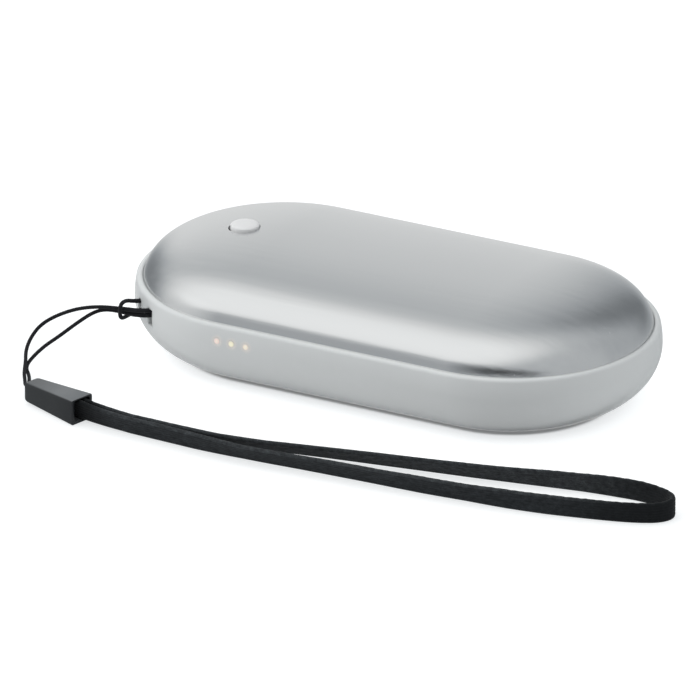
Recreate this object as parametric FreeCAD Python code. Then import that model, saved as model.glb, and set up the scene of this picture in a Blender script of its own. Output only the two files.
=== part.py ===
import FreeCAD, Part
import math
import os

# Rechargeable hand warmer, in millimetres.
# +X runs along the body, -Y is the side with the indicator lights, +Z is up.
# The origin is at the middle of the body's underside.

# Body: a white tub with a rounded underside
body_length = 108.0
body_width = 58.4
tub_height = 15.0
wall = 2.4
floor_thickness = 1.8
under_round_width = 14.0
side_rise = 4.0
side_barrel_radius = 18.0
lip_radius = 0.7
ledge_drop = 1.4

# Cover: a domed sheet that stands inside the tub's lip
dome_height = 8.2
cover_inset = 1.7
cover_sheet = 0.8
seat_gap = 0.15
edge_in_share = 0.048
edge_up_share = 0.66
crown_share = 0.75
quarter_share = 0.5523

# Ring that is bonded in the cover and snaps into the tub
bond_gap = 0.15
frame_width = 2.0
frame_drop = 3.0
frame_rise = 0.3
hook_shares = (-0.3, 0.27, 0.84)
hook_width = 6.0
hook_arm = 1.2
hook_drop = 2.4
hook_nib = 0.8
hook_nib_height = 1.2
hook_gap = 0.2

# Push button
button_from_port = 20.4
button_radius = 2.85
button_gap = 0.3
button_proud = 0.9
button_crown = 0.35
button_flange_radius = 4.2
button_flange_thickness = 0.8
button_post_radius = 1.5

# Push switch
switch_side = 6.0
switch_height = 3.5
switch_travel = 0.4
switch_floor = 0.6
switch_chamber_height = 2.0
switch_chamber_radius = 2.4
switch_stem_radius = 1.7
switch_stem_proud = 3.5
switch_collar_radius = 2.2
switch_collar_thickness = 0.5
switch_nub_radius = 0.8
switch_dome_radius = 2.1
switch_dome_rest_height = 0.35
switch_dome_sheet = 0.12
switch_gap = 0.1

# Circuit board, its posts and screws
board_drop = 3.6
board_thickness = 1.2
board_half_width = 13.0
board_edge_gap = 0.5
board_cell_gap = 1.6
board_arm_width = 5.0
post_from_port = 14.0
post_y = 10.3
post_radius = 2.2
screw_radius = 1.0
screw_length = 6.0
screw_head_radius = 1.75
screw_head_height = 1.2
screw_gap = 0.05
screw_board_gap = 0.15
screw_slot_width = 0.5
screw_slot_depth = 0.6

# USB-C receptacle under the board
usb_width = 8.94
usb_height = 3.2
usb_length = 7.3
usb_sheet = 0.3
usb_recess = 0.8
usb_opening_gap = 0.2
usb_tongue_width = 6.7
usb_tongue_thickness = 0.7
usb_tongue_back = 1.8
usb_tongue_front_gap = 0.9

# Indicator lights
led_from_bend = 4.05
led_pitch = 3.15
led_width = 1.5
led_depth = 1.0
led_height = 1.0
guide_pin_radius = 0.5
guide_pin_gap = 0.08
guide_pin_recess = 0.1
guide_bar_depth = 0.8
guide_bar_margin = 1.2
guide_gap = 0.1

# Parts on the board
inductor_side = 6.6
inductor_height = 3.0
inductor_corner = 1.4
inductor_from_port = 9.6
chip_side = 4.0
chip_height = 0.9
charger_length = 5.0
charger_width = 3.9
charger_height = 1.5
chips_from_port = 15.0
chips_y = 5.3
capacitor_length = 2.0
capacitor_width = 1.25
capacitor_height = 1.25
capacitors_from_port = 20.0
capacitor_inner_y = 6.6
capacitor_pitch = 2.4

# Cells, strips and pad
cell_port_room = 29.0
cell_far_room = 14.0
cell_top_room = 1.35
cell_gap = 0.4
cell_floor_gap = 0.4
cell_edge = 0.8
cell_nub_radius = 3.2
cell_nub_height = 0.6
rib_shares = (0.16, 0.5, 0.8)
rib_thickness = 1.6
rib_drop = 3.4
rib_gap = 0.15
strip_thickness = 0.2
strip_width = 7.5
strip_reach = 4.2
pad_margin = 4.0
pad_past_bend = 5.2
pad_width = 22.0
pad_thickness = 0.8
pad_gap = 0.05

# Heater and sensor
heater_length = 52.0
heater_width = 34.0
heater_thickness = 0.3
heater_shift = 0.5
sensor_radius = 0.65
sensor_length = 2.4
sensor_back = 8.0
sensor_from_cell = 5.6
sensor_gap = 0.1

# Inner leads
lead_radius = 0.65
heater_lead_radius = 0.5
sensor_lead_radius = 0.3
lead_down_from_cells = 3.3
lead_valley_drop = 1.6
lead_board_rise = 2.6
lead_strip_out = 2.0
positive_lead_y = -6.5
heater_lead_ys = (4.0, 7.0)
heater_lead_dip = 0.5
sensor_lead_pitch = 0.7

# Lanyard slots: two slots with a bar between them, closed behind by a pocket
slot_angles_deg = (223.7, 234.8)
slot_width = 1.8
slot_height = 3.3
slot_drop = 3.75
pocket_depth = 2.4
pocket_wall = 1.2

# Lanyard: cord, sleeve and woven strap, lying on the surface that the body stands on
cord_diameter = 0.7
ferrule_start = (-54.83, -47.63)
ferrule_turn_deg = -16.2
ferrule_length = 14.3
ferrule_width = 5.6
ferrule_height = 5.2
ferrule_corner = 0.8
ferrule_nose_length = 1.0
ferrule_nose_shares = (0.66, 0.79)
ferrule_tip_share = 0.8
ferrule_mouth_depth = 2.6
ferrule_wall = 0.36
ferrule_side_wall = 0.8
ferrule_hole_radius = 0.85
ferrule_hole_depth = 2.0
ferrule_hole_rise = 0.3
strap_width = 4.2
strap_thickness = 1.0
strap_base_z = 0.5
strap_pair_pitch = 1.3
strap_pair_shift = 0.45
cord_pair_pitch = 0.8
cord_lead_out = 0.9

# Cut tools run past the faces that they open by this much
overrun = 2.0

# A bend starts and ends at this share of the shorter of its two runs
arc_reach_share = 0.45

# Worked out from the sizes above
port_x = -body_length / 2
end_radius = body_width / 2
half_straight = body_length / 2 - end_radius
under_round_height = tub_height - side_rise
ledge_height = tub_height - ledge_drop
flat_radius = end_radius - under_round_width
cavity_radius = end_radius - wall
cover_radius = end_radius - cover_inset
rebate_radius = cover_radius + seat_gap
crown_z = tub_height + dome_height
skirt_z = ledge_height + seat_gap
frame_radius = cover_radius - cover_sheet - bond_gap
frame_bottom = tub_height - frame_drop
frame_top = tub_height + frame_rise
slot_middle_z = tub_height - slot_drop
heater_depth = cover_sheet + bond_gap
heater_under = heater_depth + heater_thickness
cell_bottom = floor_thickness + cell_floor_gap
cell_radius = (crown_z - heater_under - cell_top_room - cell_bottom) / 2
cell_z = cell_bottom + cell_radius
cell_y = cell_radius + cell_gap / 2
cell_start = port_x + cell_port_room
cell_end = body_length / 2 - cell_far_room
cell_length = cell_end - cell_start
heater_middle_x = (cell_start + cell_end) / 2 + heater_shift
sensor_x = heater_middle_x - sensor_back
sensor_y = -(cell_y + sensor_from_cell)
board_top = tub_height - board_drop
board_bottom = board_top - board_thickness
board_radius = cavity_radius - board_edge_gap
board_inner_x = cell_start - board_cell_gap
button_x = port_x + button_from_port
button_past_bend = max(-half_straight - button_x, 0)
usb_x = port_x + usb_recess
usb_z = board_bottom - usb_height / 2
led_xs = [-half_straight + led_from_bend + step * led_pitch for step in (-1, 0, 1)]
led_z = board_top + led_height / 2
lead_board_x = cell_start - lead_down_from_cells
lead_high_z = cell_z + cell_radius - lead_valley_drop
switch_top = board_top + switch_height
stem_top = switch_top + switch_stem_proud
switch_dome_height = switch_travel + switch_dome_rest_height
cord_exit_z = ferrule_height / 2 + ferrule_hole_rise

V = FreeCAD.Vector
ORIGIN = V(0, 0, 0)
ALONG = V(1, 0, 0)
ACROSS = V(0, 1, 0)
UP = V(0, 0, 1)


# Helpers

def box_between(low, high):
    size = high - low
    return Part.makeBox(size.x, size.y, size.z, low)


def profile_edges(place, start, steps):
    """Edges through (radius, height) points: one point is a line, two an arc, three a cubic curve."""
    edges = []
    here = start
    for step in steps:
        points = [place(*point) for point in (here,) + step]
        if len(points) == 2:
            curve = Part.LineSegment(*points)
        elif len(points) == 3:
            curve = Part.Arc(*points)
        else:
            curve = Part.BezierCurve()
            curve.setPoles(points)
        edges.append(curve.toShape())
        here = step[-1]
    return edges


def stadium_solid(start, steps):
    """Carry a closed (radius, height) profile round the body's plan: two half turns and two straight runs."""
    pieces = []
    for side in (1, -1):
        centre = V(side * half_straight, 0, 0)
        edges = profile_edges(lambda r, z: centre + V(0, -side * r, z), start, steps)
        face = Part.Face(Part.Wire(edges))
        pieces.append(face.revolve(centre, UP, 180))
        pieces.append(face.extrude(ALONG * (-2 * side * half_straight)))
    return pieces[0].fuse(pieces[1:]).removeSplitter()


def turned(centre, start, steps):
    """Turn a closed (radius, height) profile about a vertical axis."""
    edges = profile_edges(lambda r, z: centre + V(r, 0, z), start, steps)
    return Part.Face(Part.Wire(edges)).revolve(centre, UP, 360)


def lines(*points):
    return [(point,) for point in points]


def stadium_slab(radius, low, high):
    return stadium_solid((0, low), lines((radius, low), (radius, high), (0, high), (0, low)))


def long_hole(width, height, length, start):
    """A bar along +X with round ends across Y, as a USB-C plug is."""
    radius = height / 2
    half = width / 2 - radius
    bar = box_between(start - V(0, half, radius), start + V(length, half, radius))
    ends = [Part.makeCylinder(radius, length, start + V(0, side * half, 0), ALONG) for side in (-1, 1)]
    return bar.fuse(ends).removeSplitter()


def arc_path(name, points):
    """Straight runs joined by tangent arcs, each as large as its two runs allow."""
    here = points[0]
    edges = []
    radii = []
    for before, corner, after in zip(points, points[1:], points[2:]):
        back = before - corner
        ahead = after - corner
        reach = arc_reach_share * min(back.Length, ahead.Length)
        half_turn = (math.pi - back.getAngle(ahead)) / 2
        radii.append(reach / math.tan(half_turn))
        back.normalize()
        ahead.normalize()
        middle = back + ahead
        middle.normalize()
        depth = radii[-1] / math.cos(half_turn) - radii[-1]
        first = corner + back * reach
        last = corner + ahead * reach
        edges.append(Part.LineSegment(here, first).toShape())
        edges.append(Part.Arc(first, corner + middle * depth, last).toShape())
        here = last
    edges.append(Part.LineSegment(here, points[-1]).toShape())
    print(name, "radii", [round(radius, 2) for radius in radii])
    return Part.Wire(edges)


def swept(name, section, path, area):
    solid = path.makePipeShell([section], True, False)
    print(name, "length", round(path.Length, 2), "volume over section times length",
          round(solid.Volume / (area * path.Length), 4))
    return solid


def cord_tube(name, points, radius):
    path = arc_path(name, points)
    section = Part.Wire(Part.Circle(points[0], points[1] - points[0], radius).toShape())
    return swept(name, section, path, math.pi * radius ** 2)


# Tub and cover forms

def tub_outside():
    lip_angle = math.asin((tub_height - lip_radius - under_round_height) / (side_barrel_radius - lip_radius))
    barrel_x = end_radius - side_barrel_radius
    lip_x = barrel_x + (side_barrel_radius - lip_radius) * math.cos(lip_angle)
    lip_z = tub_height - lip_radius

    def on_barrel(angle):
        return (barrel_x + side_barrel_radius * math.cos(angle),
                under_round_height + side_barrel_radius * math.sin(angle))

    def on_lip(angle):
        return lip_x + lip_radius * math.cos(angle), lip_z + lip_radius * math.sin(angle)

    return stadium_solid((0, 0), [
        ((flat_radius, 0),),
        ((flat_radius + quarter_share * under_round_width, 0),
         (end_radius, (1 - quarter_share) * under_round_height),
         (end_radius, under_round_height)),
        (on_barrel(lip_angle / 2), on_barrel(lip_angle)),
        (on_lip((lip_angle + math.pi / 2) / 2), on_lip(math.pi / 2)),
        ((0, tub_height),),
        ((0, 0),)])


def tub_inside():
    round_width = under_round_width - wall
    round_height = under_round_height - floor_thickness
    top = tub_height + overrun
    return stadium_solid((0, floor_thickness), [
        ((flat_radius, floor_thickness),),
        ((flat_radius + quarter_share * round_width, floor_thickness),
         (cavity_radius, under_round_height - quarter_share * round_height),
         (cavity_radius, under_round_height)),
        ] + lines((cavity_radius, ledge_height), (rebate_radius, ledge_height), (rebate_radius, top),
                  (0, top), (0, floor_thickness)))


def dome_points(depth):
    """The dome's curve, from its edge to its crown, on a skin that lies this deep under the outside."""
    radius = cover_radius - depth
    rise = dome_height - depth
    return ((radius, tub_height),
            (radius * (1 - edge_in_share), tub_height + edge_up_share * rise),
            (radius * crown_share, tub_height + rise),
            (0, tub_height + rise))


def dome_solid(depth, bottom):
    edge, first, second, crown = dome_points(depth)
    return stadium_solid((0, bottom), [((edge[0], bottom),), (edge,), (first, second, crown), ((0, bottom),)])


def dome_z(depth, radius):
    """Height of that skin at a distance from the body's middle line."""
    points = dome_points(depth)
    low, high = 0.0, 1.0
    for _ in range(50):
        t = (low + high) / 2
        weights = ((1 - t) ** 3, 3 * t * (1 - t) ** 2, 3 * t ** 2 * (1 - t), t ** 3)
        here = sum(weight * point[0] for weight, point in zip(weights, points))
        low, high = (t, high) if here > radius else (low, t)
    return sum(weight * point[1] for weight, point in zip(weights, points))


# Lanyard passage

def slot_frame(angle_deg):
    """Middle of the end's half circle at slot height, and the outward direction of a slot."""
    angle = math.radians(angle_deg)
    return V(-half_straight, 0, slot_middle_z), V(math.cos(angle), math.sin(angle), 0)


def slot_cut(angle_deg):
    centre, outward = slot_frame(angle_deg)
    slot = Part.makeBox(wall + pocket_depth + overrun, slot_width, slot_height,
                        V(cavity_radius - pocket_depth, -slot_width / 2, -slot_height / 2))
    slot.rotate(ORIGIN, UP, angle_deg)
    slot.translate(centre)
    return slot


def end_sector(inner, outer, low, high, from_deg, to_deg):
    centre = V(-half_straight, 0, low)
    ring = Part.makeCylinder(outer, high - low, centre, UP, to_deg - from_deg)
    ring = ring.cut(Part.makeCylinder(inner, high - low, centre, UP, to_deg - from_deg))
    ring.rotate(centre, UP, from_deg)
    return ring


def pocket_angles(margin):
    spread = math.degrees((slot_width / 2 + margin) / cavity_radius)
    return slot_angles_deg[0] - spread, slot_angles_deg[1] + spread


def lanyard_pocket():
    inner = cavity_radius - pocket_depth - pocket_wall
    low = slot_middle_z - slot_height / 2 - pocket_wall
    return end_sector(inner, cavity_radius + wall / 2, low, ledge_height, *pocket_angles(pocket_wall))


def lanyard_passage():
    low = slot_middle_z - slot_height / 2
    high = slot_middle_z + slot_height / 2
    passage = end_sector(cavity_radius - pocket_depth, cavity_radius, low, high, *pocket_angles(0))
    return passage.fuse([slot_cut(angle) for angle in slot_angles_deg])


# Lower shell

def hook_places():
    return [(share * half_straight, side) for share in hook_shares for side in (-1, 1)]


def catch_pocket(x, side):
    half = hook_width / 2 + hook_gap
    low_z = frame_bottom - hook_drop - hook_gap
    high_z = frame_bottom - hook_drop + hook_nib_height + hook_gap
    inner = side * (cavity_radius - overrun)
    outer = side * (frame_radius + hook_nib + hook_gap)
    return box_between(V(x - half, min(inner, outer), low_z), V(x + half, max(inner, outer), high_z))


def cell_space(side):
    length = cell_length + 2 * overrun
    start = V(cell_start - overrun, side * cell_y, cell_z)
    return Part.makeCylinder(cell_radius + rib_gap, length, start, ALONG)


def cell_rib(share):
    low_x = cell_start + share * cell_length - rib_thickness / 2
    return box_between(V(low_x, -end_radius, 0), V(low_x + rib_thickness, end_radius, cell_z - rib_drop))


def post_places():
    return [V(port_x + post_from_port, side * post_y, 0) for side in (-1, 1)]


def lower_shell():
    outside = tub_outside()
    added = [cell_rib(share) for share in rib_shares]
    added += [Part.makeCylinder(post_radius, board_bottom, place, UP) for place in post_places()]
    added.append(lanyard_pocket())
    shell = outside.cut(tub_inside()).fuse([piece.common(outside) for piece in added])
    cuts = [cell_space(side) for side in (-1, 1)]
    cuts += [catch_pocket(x, side) for x, side in hook_places()]
    screw_hole = screw_length - board_thickness + screw_gap
    for place in post_places():
        mouth = place + UP * board_bottom
        cuts.append(Part.makeCylinder(screw_radius + screw_gap, screw_hole, mouth, UP * -1))
    for x in led_xs:
        start = V(x, -end_radius - overrun, led_z)
        cuts.append(Part.makeCylinder(guide_pin_radius + guide_pin_gap, wall + 2 * overrun, start, ACROSS))
    cuts.append(long_hole(usb_width + 2 * usb_opening_gap, usb_height + 2 * usb_opening_gap,
                          wall + usb_recess + 2 * overrun, V(port_x - overrun, 0, usb_z)))
    cuts.append(lanyard_passage())
    return shell.cut(cuts).removeSplitter()


# Cover, its ring and the button

def top_cover():
    inside = dome_solid(cover_sheet, skirt_z - overrun)
    hole = Part.makeCylinder(button_radius + button_gap, crown_z, V(button_x, 0, 0), UP)
    return dome_solid(0, skirt_z).cut([inside, hole])


def snap_hook(x, side):
    bottom = frame_bottom - hook_drop
    inner = frame_radius - hook_arm
    slope_z = bottom + hook_nib_height
    outline = [(inner, frame_bottom), (inner, bottom), (frame_radius, bottom),
               (frame_radius + hook_nib, slope_z), (frame_radius, slope_z), (frame_radius, frame_bottom)]
    points = [V(x - hook_width / 2, side * y, z) for y, z in outline + outline[:1]]
    return Part.Face(Part.makePolygon(points)).extrude(ALONG * hook_width)


def cover_frame():
    inner = frame_radius - frame_width
    ring = stadium_solid((inner, frame_bottom), lines((frame_radius, frame_bottom), (frame_radius, frame_top),
                                                      (inner, frame_top), (inner, frame_bottom)))
    ring = ring.fuse([snap_hook(x, side) for x, side in hook_places()])
    low = frame_bottom - overrun
    margin = led_pitch + guide_bar_margin + led_width
    lights = box_between(V(led_xs[1] - margin, -end_radius, low),
                         V(led_xs[1] + margin, -inner + overrun, led_z + led_height / 2 + hook_gap))
    lanyard_top = ledge_height + hook_gap
    lanyard = end_sector(inner - overrun, end_radius, low, lanyard_top, *pocket_angles(2 * pocket_wall))
    return ring.cut([lights, lanyard]).removeSplitter()


def button_cap():
    edge_z = dome_z(0, button_past_bend)
    top_z = edge_z + button_proud
    flange_z = dome_z(cover_sheet, button_past_bend + button_flange_radius) - button_gap
    low_z = flange_z - button_flange_thickness
    shoulder = (button_radius, top_z - button_crown)
    return turned(V(button_x, 0, 0), (0, stem_top), lines(
        (button_post_radius, stem_top), (button_post_radius, low_z), (button_flange_radius, low_z),
        (button_flange_radius, flange_z), (button_radius, flange_z), shoulder) + [
        ((button_radius, top_z - quarter_share / 2 * button_crown), (button_radius / 2, top_z), (0, top_z)),
        ((0, stem_top),)])


# Push switch

def switch_base():
    half = switch_side / 2
    body = box_between(V(button_x - half, -half, board_top), V(button_x + half, half, switch_top))
    floor = V(button_x, 0, board_top + switch_floor)
    chamber = Part.makeCylinder(switch_chamber_radius, switch_chamber_height, floor, UP)
    bore = Part.makeCylinder(switch_stem_radius + switch_gap, switch_height, floor, UP)
    return body.cut([chamber, bore])


def switch_stem():
    chamber_top = board_top + switch_floor + switch_chamber_height
    collar_top = chamber_top - switch_gap
    collar_low = collar_top - switch_collar_thickness
    nub_low = board_top + switch_floor + switch_dome_height + switch_gap
    return turned(V(button_x, 0, 0), (0, nub_low), lines(
        (switch_nub_radius, nub_low), (switch_nub_radius, collar_low), (switch_collar_radius, collar_low),
        (switch_collar_radius, collar_top), (switch_stem_radius, collar_top), (switch_stem_radius, stem_top),
        (0, stem_top), (0, nub_low)))


def switch_dome():
    """A snap dome: a thin cap that stands on the switch's floor."""
    def cap_arc(radius, height):
        cap_radius = (radius ** 2 + height ** 2) / (2 * height)
        half = math.asin(radius / cap_radius) / 2
        return (cap_radius * math.sin(half), height - cap_radius * (1 - math.cos(half)))

    rim = switch_dome_radius - 2 * switch_dome_sheet
    inner_height = switch_dome_height - switch_dome_sheet
    return turned(V(button_x, 0, board_top + switch_floor), (rim, 0), [
        ((switch_dome_radius, 0),),
        (cap_arc(switch_dome_radius, switch_dome_height), (0, switch_dome_height)),
        ((0, inner_height),),
        (cap_arc(rim, inner_height), (rim, 0))])


# Circuit board and what it carries

def circuit_board():
    outline = stadium_slab(board_radius, board_bottom, board_top)
    main = box_between(V(port_x, -board_half_width, board_bottom),
                       V(board_inner_x, board_half_width, board_top))
    arm_inner_y = -(cell_y + cell_radius + board_edge_gap)
    arm_end_x = led_xs[-1] + led_width / 2 + guide_bar_margin
    arm_start_x = board_inner_x - board_arm_width
    arm = box_between(V(arm_start_x, -end_radius, board_bottom), V(arm_end_x, arm_inner_y, board_top))
    neck = box_between(V(arm_start_x, -end_radius, board_bottom), V(board_inner_x, 0, board_top))
    radius = screw_radius + screw_board_gap
    mouths = [place + UP * board_bottom for place in post_places()]
    holes = [Part.makeCylinder(radius, board_thickness, mouth, UP) for mouth in mouths]
    return main.fuse([arm, neck]).common(outline).cut(holes).removeSplitter()


def board_screws():
    screws = []
    for place in post_places():
        seat = place + UP * board_top
        screw = Part.makeCylinder(screw_head_radius, screw_head_height, seat, UP)
        screw = screw.fuse(Part.makeCylinder(screw_radius, screw_length, seat, UP * -1))
        slot_low = V(-screw_head_radius, -screw_slot_width / 2, screw_head_height - screw_slot_depth)
        slot_high = V(screw_head_radius, screw_slot_width / 2, screw_head_height)
        slot = box_between(seat + slot_low, seat + slot_high)
        screws.append(screw.cut(slot).removeSplitter())
    return Part.makeCompound(screws)


def usb_shell():
    start = V(usb_x, 0, usb_z)
    inner = long_hole(usb_width - 2 * usb_sheet, usb_height - 2 * usb_sheet, usb_length, start)
    return long_hole(usb_width, usb_height, usb_length, start).cut(inner)


def usb_tongue():
    back_x = usb_x + usb_length - usb_tongue_back
    inner_width = usb_width - 2 * usb_sheet
    inner_height = usb_height - 2 * usb_sheet
    block = long_hole(inner_width, inner_height, usb_tongue_back, V(back_x, 0, usb_z))
    blade_start = V(usb_x + usb_tongue_front_gap, -usb_tongue_width / 2, usb_z - usb_tongue_thickness / 2)
    blade = box_between(blade_start, V(back_x, usb_tongue_width / 2, usb_z + usb_tongue_thickness / 2))
    return block.fuse(blade).removeSplitter()


def led_chips():
    front_y = -(cavity_radius - 2 * guide_gap - guide_bar_depth)
    size = V(led_width, led_depth, led_height)
    corners = [V(x - led_width / 2, front_y, board_top) for x in led_xs]
    return Part.makeCompound([box_between(corner, corner + size) for corner in corners])


def light_guide():
    front_y = -(cavity_radius - guide_gap)
    margin = led_width / 2 + guide_bar_margin
    bar = box_between(V(led_xs[0] - margin, front_y, board_top + guide_gap),
                      V(led_xs[-1] + margin, front_y + guide_bar_depth, board_top + led_height))
    tip_y = -(end_radius - guide_pin_recess)
    pin_length = front_y + guide_bar_depth / 2 - tip_y
    pins = [Part.makeCylinder(guide_pin_radius, pin_length, V(x, tip_y, led_z), ACROSS) for x in led_xs]
    return bar.fuse(pins).removeSplitter()


def board_block(from_port, y, length, width, height):
    centre = V(port_x + from_port, y, board_top)
    half = V(length / 2, width / 2, 0)
    return box_between(centre - half, centre + half + UP * height)


def power_inductor():
    block = board_block(inductor_from_port, 0, inductor_side, inductor_side, inductor_height)
    upright = [edge for edge in block.Edges if edge.BoundBox.ZLength > inductor_height / 2]
    return block.makeChamfer(inductor_corner, upright)


def controller_chip():
    return board_block(chips_from_port, chips_y, chip_side, chip_side, chip_height)


def charger_chip():
    return board_block(chips_from_port, -chips_y, charger_width, charger_length, charger_height)


def capacitors():
    rows = [side * (capacitor_inner_y + step * capacitor_pitch) for side in (-1, 1) for step in (0, 1)]
    size = (capacitor_length, capacitor_width, capacitor_height)
    return Part.makeCompound([board_block(capacitors_from_port, y, *size) for y in rows])


# Cells, strips and pad

def battery_cell(side):
    """A cylindrical cell along X, with its positive cap at the board's end."""
    shoulder = cell_start + cell_nub_height
    outline = [
        ((cell_nub_radius, cell_start),),
        ((cell_nub_radius, shoulder),),
        ((cell_radius - cell_edge, shoulder),),
        ((cell_radius, shoulder + cell_edge),),
        ((cell_radius, cell_end - cell_edge),),
        ((cell_radius - cell_edge, cell_end),),
        ((0, cell_end),),
        ((0, cell_start),)]
    axis = V(0, side * cell_y, cell_z)
    edges = profile_edges(lambda r, x: axis + V(x, r, 0), (0, cell_start), outline)
    return Part.Face(Part.Wire(edges)).revolve(axis, ALONG, 360)


def nickel_strip(x):
    half_y = cell_y + strip_reach
    half_z = strip_width / 2
    return box_between(V(x, -half_y, cell_z - half_z), V(x + strip_thickness, half_y, cell_z + half_z))


def foam_pad():
    low = cell_z + cell_radius + pad_gap
    start_x = heater_middle_x - heater_length / 2 + pad_margin
    end_x = half_straight + pad_past_bend
    return box_between(V(start_x, -pad_width / 2, low), V(end_x, pad_width / 2, low + pad_thickness))


# Heater and sensor

def heater_film():
    low = skirt_z
    skin = dome_solid(heater_depth, low).cut(dome_solid(heater_under, low - overrun))
    radius = heater_width / 2
    half = heater_length / 2 - radius
    outline = box_between(V(heater_middle_x - half, -radius, low), V(heater_middle_x + half, radius, crown_z))
    for side in (-1, 1):
        middle = V(heater_middle_x + side * half, 0, low)
        outline = outline.fuse(Part.makeCylinder(radius, crown_z - low, middle, UP))
    return skin.common(outline).removeSplitter()


def under_heater_z(y):
    return dome_z(heater_under, abs(y))


def sensor_z():
    return under_heater_z(abs(sensor_y) + sensor_radius) - sensor_radius - sensor_gap


def temperature_sensor():
    start = V(sensor_x, sensor_y, sensor_z())
    bead = Part.makeCylinder(sensor_radius, sensor_length, start, ALONG)
    tip = Part.makeSphere(sensor_radius, start + ALONG * sensor_length)
    return bead.fuse(tip).removeSplitter()


# Inner leads

def positive_lead():
    z = board_top + lead_board_rise
    return cord_tube("battery_lead_positive", [
        V(cell_start - strip_thickness, positive_lead_y, z),
        V(lead_board_x, positive_lead_y, z),
        V(lead_board_x, positive_lead_y, board_top)], lead_radius)


def negative_lead():
    start_x = cell_end + strip_thickness
    out_x = start_x + lead_strip_out
    return cord_tube("battery_lead_negative", [
        V(start_x, 0, cell_z),
        V(out_x, 0, cell_z),
        V(out_x, 0, lead_high_z),
        V(lead_board_x, 0, lead_high_z),
        V(lead_board_x, 0, board_top)], lead_radius)


def heater_leads():
    start_x = heater_middle_x - heater_length / 2 + heater_width / 2
    leads = []
    for y in heater_lead_ys:
        edge_x = start_x - math.sqrt((heater_width / 2) ** 2 - y ** 2) - bond_gap
        z = under_heater_z(y) - heater_lead_radius
        leads.append(cord_tube("heater_lead", [
            V(edge_x, y, z),
            V(lead_board_x, y, z - heater_lead_dip),
            V(lead_board_x, y, board_top)], heater_lead_radius))
    return Part.makeCompound(leads)


def sensor_leads():
    leads = []
    for side in (-1, 1):
        y = sensor_y + side * sensor_lead_pitch / 2
        leads.append(cord_tube("sensor_lead", [
            V(sensor_x, y, sensor_z()),
            V(lead_board_x, y, sensor_z()),
            V(lead_board_x, y, board_top)], sensor_lead_radius))
    return Part.makeCompound(leads)


# Lanyard

def ferrule_point(along, across, z):
    turn = math.radians(ferrule_turn_deg)
    x = ferrule_start[0] + along * math.cos(turn) - across * math.sin(turn)
    y = ferrule_start[1] + along * math.sin(turn) + across * math.cos(turn)
    return V(x, y, z)


def sleeve_shares(along):
    """The sleeve's width and height here as shares of those at its mouth: it tapers to the nose."""
    reach = (along - ferrule_nose_length) / (ferrule_length - ferrule_nose_length)
    return [nose + (1 - nose) * reach for nose in ferrule_nose_shares]


def rounded_section(along, shares, walls=(0, 0)):
    """A rounded rectangle across the sleeve, these shares of its full width and height, less its walls."""
    half_w = ferrule_width / 2 * shares[0] - walls[0]
    half_h = ferrule_height / 2 * shares[1] - walls[1]
    corner = ferrule_corner * min(shares) - min(walls)
    middle_z = ferrule_height / 2
    diagonal = corner * (1 - math.cos(math.pi / 4))
    edges = []
    for side, up in ((1, 1), (-1, 1), (-1, -1), (1, -1)):
        near = (side * half_w, middle_z + up * (half_h - corner))
        mid = (side * (half_w - diagonal), middle_z + up * (half_h - diagonal))
        far = (side * (half_w - corner), middle_z + up * half_h)
        order = (near, mid, far) if side == up else (far, mid, near)
        edges.append([ferrule_point(along, *point) for point in order])
    wire = []
    for this, following in zip(edges, edges[1:] + edges[:1]):
        wire.append(Part.Arc(*this).toShape())
        wire.append(Part.LineSegment(this[-1], following[0]).toShape())
    return Part.Wire(wire)


def strap_ferrule():
    tip_shares = [ferrule_tip_share * nose for nose in ferrule_nose_shares]
    tapered = [rounded_section(along, sleeve_shares(along)) for along in (ferrule_nose_length, ferrule_length)]
    body = Part.makeLoft([rounded_section(0, tip_shares)] + tapered, True, True)
    mouth_ends = (ferrule_length - ferrule_mouth_depth, ferrule_length + overrun)
    walls = (ferrule_side_wall, ferrule_wall)
    mouth = Part.makeLoft([rounded_section(along, sleeve_shares(along), walls) for along in mouth_ends], True, True)
    hole_start = ferrule_point(-overrun, 0, cord_exit_z)
    along = ferrule_point(1, 0, 0) - ferrule_point(0, 0, 0)
    hole = Part.makeCylinder(ferrule_hole_radius, ferrule_hole_depth + overrun, hole_start, along)
    return body.cut([mouth, hole])


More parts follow.
